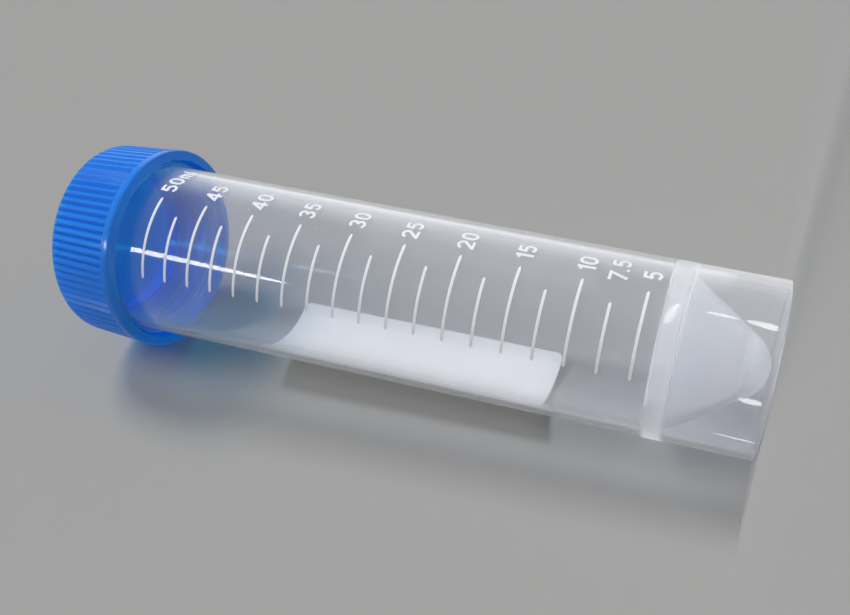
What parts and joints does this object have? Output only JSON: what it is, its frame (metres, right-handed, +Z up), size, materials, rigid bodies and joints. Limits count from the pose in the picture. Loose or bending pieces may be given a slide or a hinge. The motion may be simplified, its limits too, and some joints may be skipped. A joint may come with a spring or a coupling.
{
  "type": "conical centrifuge tube",
  "caption": "Clear self-standing conical tube with a skirt, printed volume scale, writing patch and a ribbed blue screw cap.",
  "frame": {"origin": "centre of the foot, on the bench", "axes": "+Z up the tube's axis from the foot to the cap, -Y the side that the printed scale faces"},
  "size_m": [0.0352, 0.0352, 0.1165],
  "materials": {
    "clear_plastic": "gloss",
    "blue_plastic": "satin",
    "white_ink": "matte"
  },
  "bodies": {
    "tube": {"tube": "clear_plastic", "scale_lines": "white_ink", "writing_patch": "white_ink"},
    "cap": {"cap": "blue_plastic"}
  },
  "joints": [
    {"name": "cap_lift", "type": "slide", "parent": "tube", "child": "cap", "axis": [0, 0, 1], "range_m": [0, 0.03]}
  ]
}
